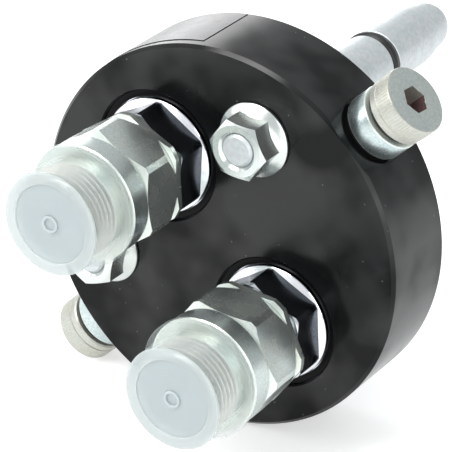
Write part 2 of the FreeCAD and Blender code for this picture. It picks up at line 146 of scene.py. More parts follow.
def along_plate(place: Vector) -> Matrix:
    """Return the move that lays a piece's axis parallel to the plate's.

    Args:
        place: a point of the row frame, in metres, whose X and Z the piece's axis goes through.

    Returns:
        The matrix from the piece's own frame to the row frame.
    """
    turn = Matrix.Rotation(-resting_turn(), 4, "Y") @ Matrix.Rotation(math.radians(-90), 4, "X")
    return Matrix.Translation((place.x, 0, place.z)) @ turn


def along_screw(side: Side) -> Matrix:
    """Return the move that lays a piece's axis, counted from the plate's, on a roller screw's."""
    low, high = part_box("plate")
    turn = Matrix.Rotation(math.radians(90 * side.sign) - resting_turn(), 4, "Y")
    return Matrix.Translation((0, (low.y + high.y) / 2, 0)) @ turn


def stairs(*places: float) -> Outline:
    """Return the corners of a path that turns square at each one.

    Args:
        places: a radius, a station, a radius and so on, each being where the path turns next.

    Returns:
        The corners as (radius, station) points, one fewer than the places.
    """
    pairs = enumerate(zip(places, places[1:]))
    return [pair if number % 2 == 0 else pair[::-1] for number, pair in pairs]


def rounded(side: float, face: float, width: float) -> Outline:
    """Return the points of an outside edge that is turned round in two facets.

    Args:
        side: the radius of the side.
        face: the station of the face.
        width: how wide the edge is, and below zero where the piece lies below its face.

    Returns:
        The points from the face to the side.
    """
    bow, reach = 0.3, abs(width)
    return [(side - reach, face), (side - bow * reach, face + bow * width), (side, face + width)]


def select_only(*pieces: Piece) -> None:
    """Deselect everything, then select some pieces and make the first one active."""
    bpy.ops.object.select_all(action="DESELECT")
    for piece in pieces:
        piece.select_set(True)
    if pieces:
        bpy.context.view_layer.objects.active = pieces[0]


def named(name: str) -> Piece:
    """Name the active object and its mesh, and return it."""
    piece = bpy.context.object
    piece.name = name
    piece.data.name = name
    return piece


@contextmanager
def editing(piece: Piece) -> Iterator[None]:
    """Hold a piece in edit mode, with all its corners selected, while a block runs."""
    select_only(piece)
    bpy.ops.object.mode_set(mode="EDIT")
    bpy.ops.mesh.select_mode(type="VERT")
    bpy.ops.mesh.select_all(action="SELECT")
    yield
    bpy.ops.object.mode_set(mode="OBJECT")


def traced(name: str, points: list[Vector]) -> Piece:
    """Draw a chain of edges through points.

    Args:
        name: the new piece's name.
        points: the chain's corners, in metres.

    Returns:
        The piece, which has no faces yet.
    """
    select_only()
    bpy.ops.mesh.primitive_circle_add(vertices=3, radius=MM)
    piece = named(name)
    with editing(piece):
        bpy.ops.mesh.merge(type="CENTER")
        bpy.ops.transform.translate(value=points[0])
        for before, after in zip(points, points[1:]):
            bpy.ops.mesh.extrude_vertices_move(TRANSFORM_OT_translate={"value": after - before})
    return piece


def volume(piece: Piece) -> float:
    """Return a closed piece's volume, which is below zero where its faces point inwards."""
    mesh = piece.data
    mesh.calc_loop_triangles()
    total = 0.0
    for triangle in mesh.loop_triangles:
        first, second, third = (mesh.vertices[number].co for number in triangle.vertices)
        total += first.dot(second.cross(third)) / 6
    return total


def mended(piece: Piece) -> Piece:
    """Merge a piece's doubled corners and point its faces outwards."""
    with editing(piece):
        bpy.ops.mesh.remove_doubles(threshold=DOUBLES * MM)
        bpy.ops.mesh.normals_make_consistent(inside=False)
    if volume(piece) < 0:
        with editing(piece):
            bpy.ops.mesh.flip_normals()
    return piece


def turned(name: str, outline: Outline, steps: int = 128) -> Piece:
    """Turn a piece on a lathe: an outline is spun once about local Z.

    Args:
        name: the new piece's name.
        outline: (radius, station) points in millimetres. An outline that starts and ends on the
            axis makes a solid, and any other is closed into a ring.
        steps: how many faces go round.

    Returns:
        The closed piece.
    """
    on_axis = outline[0][0] == 0 and outline[-1][0] == 0
    points = [Vector((radius, 0, station)) * MM for radius, station in outline]
    if not on_axis:
        points.append(points[0])
    piece = traced(name, points)
    with editing(piece):
        bpy.ops.mesh.spin(steps=steps, angle=math.tau, center=(0, 0, 0), axis=(0, 0, 1))
    return mended(piece)


def bar(name: str, width: float, start: float, end: float, turn: float) -> Piece:
    """Return a hexagonal bar between two stations.

    Args:
        name: the new piece's name.
        width: across flats, in millimetres.
        start: the lower station.
        end: the upper station.
        turn: the angle of one corner from local X, in degrees.

    Returns:
        The bar.
    """
    select_only()
    bpy.ops.mesh.primitive_cylinder_add(
        vertices=6,
        radius=width / math.sqrt(3) * MM,
        depth=(end - start) * MM,
        location=(0, 0, (start + end) / 2 * MM),
        rotation=(0, 0, math.radians(turn - 90)),
    )
    return put(named(name), Matrix.Identity(4))


def block(name: str, size: Place, middle: Place, move: Matrix) -> Piece:
    """Return a rectangular block from its size and middle in millimetres, moved to its place."""
    select_only()
    scale, location = ([length * MM for length in lengths] for lengths in (size, middle))
    bpy.ops.mesh.primitive_cube_add(size=1, scale=scale, location=location)
    return put(named(name), move)


def applied(piece: Piece, kind: str, **settings) -> Piece:
    """Add a modifier of one of Blender's types to a piece with its settings, and apply it."""
    select_only(piece)
    modifier = piece.modifiers.new(kind.title(), kind)
    for setting, value in settings.items():
        setattr(modifier, setting, value)
    bpy.ops.object.modifier_apply(modifier=modifier.name)
    return piece


def combined(piece: Piece, tool: Piece, operation: str) -> Piece:
    """Cut a piece with a tool, keep what lies inside it, or join the two into one solid.

    Args:
        piece: the piece to change.
        tool: the other solid, which is used up.
        operation: DIFFERENCE, INTERSECT or UNION.

    Returns:
        The same piece.
    """
    applied(piece, "BOOLEAN", object=tool, operation=operation, solver="EXACT")
    bpy.data.objects.remove(tool)
    return mended(piece)


def eased(piece: Piece, width: float, segments: int = 2) -> Piece:
    """Round off a piece's sharp edges by a width in millimetres."""
    return applied(
        piece, "BEVEL", width=width * MM, segments=segments, limit_method="ANGLE",
        angle_limit=EASED, miter_outer="MITER_ARC", harden_normals=False,
    )


@dataclass(frozen=True)
class Thread:
    """The ridge of a thread, wound about local Z from the side away from the photo's camera."""

    root: float
    crest: float
    pitch: float
    start: float
    end: float
    sunk: float = 0.12
    flanks: tuple[float, float, float, float] = (0.06, 0.42, 0.56, 0.92)
    steps: int = 64

    def ridge(self) -> Piece:
        """Return the closed ridge, which reaches a little below the thread's root."""
        turns = (self.end - self.start) / self.pitch - 1
        base = self.root - self.sunk
        section = zip((base, self.crest, self.crest, base), self.flanks)
        corners = [
            Vector((-radius, 0, self.start + share * self.pitch)) * MM for radius, share in section
        ]
        piece = traced("thread", corners + corners[:1])
        with editing(piece):
            bpy.ops.mesh.remove_doubles(threshold=DOUBLES * MM)
        steps = round(self.steps * turns)
        applied(
            piece, "SCREW", angle=math.tau * turns, screw_offset=self.pitch * turns * MM,
            steps=steps, render_steps=steps, axis="Z",
        )
        with editing(piece):
            bpy.ops.mesh.fill_holes(sides=len(corners))
            bpy.ops.mesh.normals_make_consistent(inside=False)
        return piece


def put(piece: Piece, place: Matrix) -> Piece:
    """Move a piece from its own frame to the row frame, with its place in its mesh."""
    piece.matrix_world = place @ piece.matrix_world
    select_only(piece)
    bpy.ops.object.transform_apply(location=True, rotation=True, scale=True)
    return piece


def fitted(
    piece: Piece, place: Matrix, finish: "Finish", slot: str, *nodes: str,
    body: str = "plate_half", angle: float = 24,
) -> None:
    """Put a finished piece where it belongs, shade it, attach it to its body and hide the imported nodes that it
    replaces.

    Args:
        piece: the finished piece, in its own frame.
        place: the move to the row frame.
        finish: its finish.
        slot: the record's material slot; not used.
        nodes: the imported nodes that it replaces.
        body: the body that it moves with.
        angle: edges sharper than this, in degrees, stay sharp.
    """
    put(piece, place)
    bpy.ops.object.shade_smooth_by_angle(angle=math.radians(angle))
    piece.data.materials.clear()
    piece.data.materials.append(finish.material())
    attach(piece, body)
    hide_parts(*nodes)
    log.info("%s: %d faces on %s", piece.name, len(piece.data.polygons), body)


def painted(piece: Piece, finish: "Finish", chosen: Callable[[Vector, Vector], bool]) -> None:
    """Give some faces of a fitted piece another finish.

    Args:
        piece: the fitted piece.
        finish: the other finish.
        chosen: says from a face's middle and normal, in metres, whether the face takes it.
    """
    piece.data.materials.append(finish.material())
    number = len(piece.data.materials) - 1
    for face in piece.data.polygons:
        if chosen(face.center, face.normal):
            face.material_index = number


def linear(colour: str) -> tuple[float, float, float, float]:
    """Turn an sRGB hex colour such as #c8ccce into linear light with full alpha."""
    parts = [int(colour[i : i + 2], 16) / 255 for i in (1, 3, 5)]
    light = [v / 12.92 if v <= 0.04045 else ((v + 0.055) / 1.055) ** 2.4 for v in parts]
    return (*light, 1.0)


def fill(tree: bpy.types.NodeTree, node: bpy.types.Node, inputs: dict) -> None:
    """Link a node's sockets, by name or number, to output sockets, or set their values."""
    for name, value in inputs.items():
        if isinstance(value, Socket):
            tree.links.new(value, node.inputs[name])
        else:
            node.inputs[name].default_value = value


def add_node(
    tree: bpy.types.NodeTree, kind: str, inputs: dict | None = None, **settings
) -> bpy.types.Node:
    """Add a node with its settings and links.

    Args:
        tree: the material's node tree.
        kind: Blender's name for the node's type.
        inputs: what its sockets hold, by name or number: an output socket or a value.
        settings: the node's own values.

    Returns:
        The new node.
    """
    node = tree.nodes.new(kind)
    for name, value in settings.items():
        setattr(node, name, value)
    fill(tree, node, inputs or {})
    return node


def around(middle: float, spread: float) -> Span:
    """Return the span that reaches a spread to both sides of a middle."""
    return (middle - spread, middle + spread)


class Surface:
    """A material in the making, with the patterns that the finishes are made from."""

    def __init__(self, name: str) -> None:
        """Start a material that has its shader and the piece's own coordinates."""
        self.material = bpy.data.materials.new(name)
        self.material.use_nodes = True
        self.tree = self.material.node_tree
        self.place = add_node(self.tree, "ShaderNodeTexCoord").outputs["Object"]

    def noise(self, size: float, detail: float, place: Socket | None = None) -> Socket:
        """Return a cloudy pattern.

        Args:
            size: the size of its clouds, in millimetres.
            detail: how many finer layers lie over them.
            place: where it is looked up, if not at the piece's own coordinates.

        Returns:
            The pattern's value.
        """
        inputs = {"Vector": place or self.place, "Scale": 1 / (size * MM), "Detail": detail}
        return add_node(self.tree, "ShaderNodeTexNoise", inputs).outputs["Fac"]

    def remapped(self, value: Socket, before: Span, after: Span) -> Socket:
        """Return a value moved from one span to another, and held inside it."""
        return add_node(self.tree, "ShaderNodeMapRange", {
            "Value": value, "From Min": before[0], "From Max": before[1],
            "To Min": after[0], "To Max": after[1],
        }).outputs["Result"]

    def mixed(self, share: Socket, first: str, second: str) -> Socket:
        """Return a mix of two colours, from the first at 0 to the second at 1."""
        inputs = {"Factor": share, "A": linear(first), "B": linear(second)}
        return add_node(self.tree, "ShaderNodeMix", inputs, data_type="RGBA").outputs["Result"]

    def bumped(self, height: Socket, depth: float) -> Socket:
        """Return the normal of a relief that is a depth in millimetres from low to high."""
        inputs = {"Height": height, "Strength": 1.0, "Distance": depth * MM}
        return add_node(self.tree, "ShaderNodeBump", inputs).outputs["Normal"]

    def shaded(self, inputs: dict) -> Material:
        """Fill the shader's sockets and return the material."""
        fill(self.tree, self.tree.nodes["Principled BSDF"], inputs)
        return self.material


@dataclass(frozen=True)
class PlatedSteel:
    """Steel with a metal plating, from a bright mirror to a matt grained layer.

    Two tints mix in broad patches, as on a passivated zinc layer. The grain gives the sparkle
    of plated crystals, and the cloud makes the gloss uneven. On a faced flange, the turning
    marks round the two lines throw the light outwards.
    """

    name: str
    colour: str
    tint: str
    roughness: float
    uneven: float = 0.05
    grain: float = 0.5
    relief: float = 0.006
    patch: float = 6.0
    metallic: float = 1.0
    sparkle: float = 0.0
    mark_slope: float = 0.0

    def turning_marks(self, surface: Surface, normal: Socket) -> Socket:
        """Tilt a normal away from the nearer line's axis, as the flanks of turning marks do.

        Args:
            surface: the material in the making.
            normal: the normal that the grain gives.

        Returns:
            The tilted normal.
        """
        tree = surface.tree
        across = {0: surface.place, 1: (1.0, 0.0, 1.0)}
        flat = add_node(tree, "ShaderNodeVectorMath", across, operation="MULTIPLY")
        radii = {}
        for number, line in enumerate(Line):
            inputs = {0: flat.outputs["Vector"], 1: (line.axis.x, 0.0, line.axis.z)}
            distance = add_node(tree, "ShaderNodeVectorMath", inputs, operation="DISTANCE")
            radii[number] = distance.outputs["Value"]
        nearer = add_node(tree, "ShaderNodeMath", radii, operation="MINIMUM").outputs["Value"]
        slope = {0: nearer, 1: -self.mark_slope}
        fall = add_node(tree, "ShaderNodeMath", slope, operation="MULTIPLY")
        return add_node(tree, "ShaderNodeBump", {
            "Height": fall.outputs["Value"], "Strength": 1.0, "Distance": 1.0, "Normal": normal,
        }).outputs["Normal"]

    def material(self) -> Material:
        """Return the finish as a material."""
        surface = Surface(self.name)
        cloud = surface.noise(self.patch, detail=3.0)
        crystals = surface.noise(self.grain, detail=2.0)
        glints = surface.remapped(crystals, NOISE_MANY, around(1.0, self.sparkle))
        tints = surface.mixed(cloud, self.colour, self.tint)
        speckled = add_node(
            surface.tree, "ShaderNodeVectorMath", {0: tints, "Scale": glints}, operation="SCALE")
        normal = surface.bumped(crystals, self.relief)
        if self.mark_slope:
            normal = self.turning_marks(surface, normal)
        return surface.shaded({
            "Base Color": speckled.outputs["Vector"],
            "Roughness": surface.remapped(cloud, NOISE_MOST, around(self.roughness, self.uneven)),
            "Normal": normal,
            "Metallic": self.metallic,
        })


@dataclass(frozen=True)
class AnodisedAluminium:
    """Aluminium turned, then dyed black in the anodising bath.

    The dyed layer is a dark glass over the metal: it looks charcoal where it mirrors the pale
    surroundings and nearly white along a grazing edge. Handling leaves light specks and smears.
    """

    name: str = "anodised_aluminium_turned_and_dyed_black"
    colour: str = "#0c0d0d"
    dust: str = "#6b6e6d"
    roughness: float = 0.18
    uneven: float = 0.07
    smear: float = 17.0
    smear_place: Place = (-210.0, 207.0, -123.0)
    smear_edges: Span = (0.38, 0.6)
    speck: float = 3.2
    speck_edges: Span = (0.03, 0.05)
    texture: float = 0.6
    texture_relief: float = 0.004
    film: Span = (0.13, 0.4)

    def material(self) -> Material:
        """Return the finish as a material."""
        surface = Surface(self.name)
        tree, place = surface.tree, surface.place
        move = {0: place, 1: Vector(self.smear_place) * MM}
        moved = add_node(tree, "ShaderNodeVectorMath", move, operation="ADD")
        smears = surface.noise(self.smear, detail=2.0, place=moved.outputs["Vector"])
        cells = {"Vector": place, "Scale": 1 / (self.speck * MM)}
        specks = add_node(tree, "ShaderNodeTexVoronoi", cells)
        dust = surface.remapped(specks.outputs["Distance"], self.speck_edges, (1.0, 0.0))
        skin = surface.noise(self.texture, detail=2.0)
        return surface.shaded({
            "Base Color": surface.mixed(dust, self.colour, self.dust),
            "Roughness": surface.remapped(smears, NOISE_MANY, around(self.roughness, self.uneven)),
            "Specular IOR Level": surface.remapped(smears, self.smear_edges, self.film),
            "Normal": surface.bumped(skin, self.texture_relief),
        })


@dataclass(frozen=True)
class DarkCoat:
    """A dark skin with an even gloss: moulded rubber, oiled phosphate or a label film."""

    name: str
    colour: str
    roughness: float
    grain: float
    relief: float
    specular: float = 0.5
    uneven: float = 0.06

    def material(self) -> Material:
        """Return the finish as a material."""
        surface = Surface(self.name)
        skin = surface.noise(self.grain, detail=3.0)
        return surface.shaded({
            "Base Color": linear(self.colour),
            "Roughness": surface.remapped(skin, (0.0, 1.0), around(self.roughness, self.uneven)),
            "Specular IOR Level": self.specular,
            "Normal": surface.bumped(skin, self.relief),
        })


@dataclass(frozen=True)
class MilkyPolyethylene:
    """Injection-moulded low-density polyethylene: light goes in, scatters and partly passes."""

    name: str
    colour: str
    cover: float
    roughness: float = 0.34
    bending: float = 1.51
    depth: float = 1.5
    ripple: float = 5.0
    ripple_relief: float = 0.02

    def material(self) -> Material:
        """Return the finish as a material."""
        surface = Surface(self.name)
        return surface.shaded({
            "Base Color": linear(self.colour),
            "Roughness": self.roughness,
            "IOR": self.bending,
            "Alpha": self.cover,
            "Subsurface Weight": 1.0,
            "Subsurface Radius": (1.0, 1.0, 1.0),
            "Subsurface Scale": self.depth * MM,
            "Normal": surface.bumped(surface.noise(self.ripple, detail=1.0), self.ripple_relief),
        })


class Finish(Enum):
    """Every finish on the half."""

    ANODISED = AnodisedAluminium()
    # The caps' ends: thick enough to hide what is behind them.
    POLYETHYLENE = MilkyPolyethylene("polyethylene_moulded_milky", "#aab3b5", cover=0.9)
    # The caps' front corners: painted paler than the ends, for the light that comes in from two sides.
    CORNER_POLYETHYLENE = MilkyPolyethylene("polyethylene_corner_painted_light", "#b0b7b7", cover=0.84)
    # The caps' thin sides: most light goes straight through, so the thread shows inside.
    THIN_POLYETHYLENE = MilkyPolyethylene("polyethylene_moulded_thin", "#c9d2d1", cover=0.16)
    # Nickel over ground steel: a clear dark mirror with white flashes.
    BRIGHT = PlatedSteel(
        "steel_turned_and_bright_nickel_plated", "#dcdfe3", "#d3d6dd", roughness=0.1, uneven=0.04,
        grain=2.5, relief=0.002)
    # Nickel over milled flats, painted much darker than the bright nickel as shade: the black plate shows in them
    # as a soft dark blur.
    SHADED_MILLED = PlatedSteel(
        "steel_milled_nickel_painted_shade", "#6c7277", "#61666d", roughness=0.24, grain=0.7)
    # Nickel over a faced flange: the turning marks throw the pale surroundings' light outwards.
    FACED = PlatedSteel(
        "steel_faced_and_nickel_plated", "#f6f6fa", "#efeff6", roughness=0.26, uneven=0.04,
        grain=1.2, relief=0.003, mark_slope=0.6)
    # Zinc over milled steel: grey-green flats that sparkle.
    ZINC = PlatedSteel(
        "steel_milled_and_zinc_plated", "#b9c6c7", "#c6c7be", roughness=0.26, grain=0.26,
        metallic=0.93, sparkle=0.14)
    # Zinc over turned chamfers: painted near white for the light that they catch, and rougher, for the tool marks
    # scatter more.
    LIGHTENED_TURNED_ZINC = PlatedSteel(
        "steel_turned_zinc_with_painted_light", "#d2dede", "#dcddd1", roughness=0.33, uneven=0.06,
        metallic=0.8, sparkle=0.05)
    # Zinc over a finely turned collar: satin, and darker where it turns to the black plate.
    COLLAR_ZINC = PlatedSteel(
        "steel_finely_turned_and_zinc_plated", "#b4c2c3", "#bfc4bf", roughness=0.27, grain=0.3,
        metallic=0.95, sparkle=0.1)
    # Zinc on a thread's flanks: painted darker as the shade between the turns, and a little warm, so each turn
    # shows through the cap.
    FLANK_ZINC_PAINTED_SHADE = PlatedSteel(
        "steel_thread_flank_zinc_painted_shade", "#c0c7c4", "#cac2b8", roughness=0.36, metallic=0.9,
        sparkle=0.05)
    # Zinc on a thread's crests: painted white as a highlight, so they stand out against the flanks.
    CREST_PAINTED_HIGHLIGHT = PlatedSteel(
        "steel_thread_crest_painted_highlight", "#ffffff", "#f6faf8", roughness=0.4, metallic=0.5,
        sparkle=0.02)
    # Zinc over forged steel: pale and glossy, so the flats mirror the black plate.
    GLOSSY_ZINC = PlatedSteel(
        "steel_forged_and_bright_zinc_plated", "#c6cfd1", "#d2d3cb", roughness=0.24, grain=0.9,
        metallic=0.93)
    # Zinc over a cold-headed screw: dull grey with a warm cast.
    HEADED_ZINC = PlatedSteel(
        "steel_cold_headed_and_zinc_plated", "#b6bab4", "#c0bdb2", roughness=0.42, uneven=0.06,
        grain=0.6, relief=0.012, metallic=0.85, sparkle=0.06)
    # Zinc over the head's struck end: duller than its side, and painted darker and bluer than it as shade.
    STRUCK_END_PAINTED_SHADE = PlatedSteel(
        "steel_head_end_zinc_painted_shade", "#a6b0b1", "#b0b4ae", roughness=0.44, uneven=0.06,
        grain=0.6, relief=0.012, metallic=0.85, sparkle=0.08)
    # Zinc in a deep socket: thin, so the steel shows through brown and purple, and painted dark as the shade
    # inside the socket.
    SOCKET_ZINC_PAINTED_SHADE = PlatedSteel(
        "steel_broached_thin_plating_and_painted_shade", "#806860", "#573d49", roughness=0.4, uneven=0.06,
        grain=1.2, relief=0.01, patch=1.5, metallic=0.5)
    # Zinc over turned steel, tumbled matt: an even pale grey with cloudy smears.
    MATT_ZINC = PlatedSteel(
        "steel_turned_and_matt_zinc_plated", "#bcc7ca", "#c9c8c9", roughness=0.5, uneven=0.06,
        grain=1.1, relief=0.03, patch=4.0, metallic=0.85, sparkle=0.06)
    # Hardened steel, ground and thinly plated: white in the middle and mottled at the sides.
    GROUND = PlatedSteel(
        "steel_ground_and_thinly_zinc_plated", "#b3c4c6", "#c0c8c7", roughness=0.28, uneven=0.07,
        relief=0.01, metallic=0.95, sparkle=0.12)
    # Oiled phosphate: nearly black, with a soft shine only where it is lit.
    PHOSPHATE = DarkCoat(
        "spring_steel_phosphated_and_oiled", "#040405", roughness=0.3, grain=1.2, relief=0.01,
        specular=0.1)
    # Moulded rubber: black with a dull even shine.
    RUBBER = DarkCoat("nitrile_rubber_moulded", "#0d0d0e", roughness=0.42, grain=0.4, relief=0.006)
    # Turned nylon: black and a little duller than the rubber.
    NYLON = DarkCoat("nylon_turned_black", "#101011", roughness=0.45, grain=0.5, relief=0.006)
    # The label's film: smoother than the plate, so its edge shows.
    FILM = DarkCoat(
        "polyester_film_printed_black", "#141518", roughness=0.26, grain=3.0, relief=0.003)
    # Drawn wire: plain grey steel with a faint grain.
    WIRE = PlatedSteel(
        "steel_wire_drawn", "#8f9293", "#85888b", roughness=0.3, grain=0.6, relief=0.01)

    @cache
    def material(self) -> Material:
        """Return the finish's material, which is made once and shared by its pieces."""
        return self.value.material()


@dataclass
class Plate:
    """The black plate: turned, bored for both lines and the pins, and spot-faced at the rim."""

    radius: float = 47.5
    thickness: float = 22.5
    front_chamfer: float = 0.8
    rear_chamfer: float = 0.3
    counterbore: float = 16.0
    counterbore_depth: float = 4.0
    counterbore_chamfer: float = 0.4
    groove: float = 16.85
    groove_span: Span = (-21.8, -20.5)
    bore: float = 13.1
    pin_hole: float = 4.2
    pin_seat: float = 7.35
    pin_seat_depth: float = 1.0
    flat_distance: float = 46.8
    spot_radius: float = 8.25
    spot_distance: float = 46.4
    spot_edge: float = 0.15
    tapped_hole: float = 4.05
    tapped_depth: float = 17.0

    def blank(self) -> Piece:
        """Return the plain disc with its eased rims, on local Z."""
        front = -self.thickness
        return turned("plate_black", [
            (0, front), (self.radius - self.front_chamfer, front),
            (self.radius, front + self.front_chamfer), (self.radius, -self.rear_chamfer),
            (self.radius - self.rear_chamfer, 0), (0, 0),
        ], steps=360)

    def line_bore(self) -> Piece:
        """Return the cutter for one stepped bore with its snap ring groove."""
        front = -self.thickness
        mouth = self.counterbore + self.counterbore_chamfer
        rear = self.bore + self.rear_chamfer
        groove_start, groove_end = self.groove_span
        return turned("line_bore", [
            *stairs(0, front - OVER, mouth, front),
            (self.counterbore, front + self.counterbore_chamfer),
            *stairs(self.counterbore, groove_start, self.groove, groove_end, self.counterbore,
                    front + self.counterbore_depth, self.bore, -self.rear_chamfer),
            (rear, 0), *stairs(rear, OVER, 0),
        ])

    def pin_bore(self) -> Piece:
        """Return the cutter for one guide pin's stud hole and seat."""
        return turned("pin_bore", stairs(
            0, -self.thickness - OVER, self.pin_hole, -self.pin_seat_depth, self.pin_seat, OVER, 0,
        ), steps=96)

    def rim_flat(self, side: Side) -> Piece:
        """Return the cutter for one flat on the rim, in the row frame."""
        depth = self.radius
        middle = (side.sign * (self.flat_distance + depth / 2), -self.thickness / 2, 0)
        size = (depth, self.thickness * 2, self.radius * 2)
        return block("rim_flat", size, middle, Matrix.Rotation(-resting_turn(), 4, "Y"))

    def spot_face(self) -> Piece:
        """Return the cutter for the round seat under one roller screw."""
        mouth = self.spot_radius + self.spot_edge
        return turned("spot_face", [
            *stairs(0, self.spot_distance, self.spot_radius, self.flat_distance - self.spot_edge),
            (mouth, self.flat_distance), *stairs(mouth, self.radius + OVER, 0),
        ])

    def build(self) -> None:
        """Make the plate and dress it."""
        plate = put(self.blank(), along_plate(Vector((0, 0, 0))))
        for line in Line:
            combined(plate, put(self.line_bore(), along_plate(line.axis)), "DIFFERENCE")
            combined(plate, put(self.pin_bore(), along_plate(line.pin_axis)), "DIFFERENCE")
        for side in Side:
            combined(plate, self.rim_flat(side), "DIFFERENCE")
            combined(plate, put(self.spot_face(), along_screw(side)), "DIFFERENCE")
            floor = self.spot_distance - self.tapped_depth
            hole = turned("tapped", stairs(0, floor, self.tapped_hole, self.radius, 0), steps=96)
            combined(plate, put(hole, along_screw(side)), "DIFFERENCE")
        fitted(plate, Matrix.Identity(4), Finish.ANODISED, "black_anodised", "plate", angle=20)


@dataclass
class CouplingBody:
    """A bright coupling body: hexagon in front of the plate, shouldered sleeve through it."""

    corner_turns: Span = (15.8, 10.0)
    width: float = 24.5
    corner: float = 13.8
    hex_face: float = -31.7
    hex_overlap: float = 0.5
    front_face: float = -22.5
    boss: float = 14.2
    boss_edge: float = 0.15
    shoulder: float = 15.6
    shoulder_span: Span = (-20.5, -18.5)
    sleeve: float = 13.05
    groove: float = 11.3
    groove_span: Span = (-16.4, -14.0)
    port: float = 8.35
    port_floor: float = -20.2
    passage: float = 7.0
    seat: float = 9.35
    seat_span: Span = (-12.45, -9.45)
    rear_thread: float = 11.0
    edge: float = 0.12

    def hexagon(self, line: Line) -> Piece:
        """Return the hexagon with round corners that are turned down at the open end."""
        rise = (self.corner - self.width / 2) * math.tan(HEX_CHAMFER)
        stock = bar("body_" + line.value, self.width, self.hex_face,
                    self.front_face + self.hex_overlap, line.pick(self.corner_turns))
        envelope = turned("envelope", [
            *stairs(0, self.hex_face, self.width / 2), (self.corner, self.hex_face + rise),
            *stairs(self.corner, self.front_face + OVER, 0),
        ], steps=192)
        return eased(combined(stock, envelope, "INTERSECT"), self.edge, segments=1)

    def sleeve_part(self) -> Piece:
        """Return the flange, the shoulder and the sleeve with its seal groove."""
        groove_start, groove_end = self.groove_span
        return turned("sleeve", [
            *stairs(0, self.front_face, self.boss - self.boss_edge),
            (self.boss, self.front_face + self.boss_edge),
            *stairs(self.boss, self.shoulder_span[0], self.shoulder, self.shoulder_span[1],
                    self.sleeve, groove_start, self.groove, groove_end, self.sleeve, 0, 0),
        ], steps=192)

    def inside(self) -> Piece:
        """Return the cutter for the port, the passage, the seat and the rear thread."""
        seat_start, seat_end = self.seat_span
        return turned("inside", stairs(
            0, self.hex_face - OVER, self.port, self.port_floor, self.passage, seat_start,
            self.seat, seat_end, self.rear_thread, OVER, 0,
        ))

    def build(self, line: Line) -> None:
        """Make one body and dress it."""
        body = combined(self.hexagon(line), self.sleeve_part(), "UNION")
        combined(body, self.inside(), "DIFFERENCE")
        fitted(body, along_plate(line.axis), Finish.BRIGHT, "bright_plated",
               "coupling_body_" + line.value)
        front = self.front_face * MM
        # The flats take a darker copy of the nickel: painted shade.
        painted(body, Finish.SHADED_MILLED, lambda middle, normal: (
            middle.y < front and abs(normal.y) < ALONG))
        painted(body, Finish.FACED, lambda middle, normal: (
            abs(middle.y - front) < NEAR * MM and normal.y < -SQUARE))


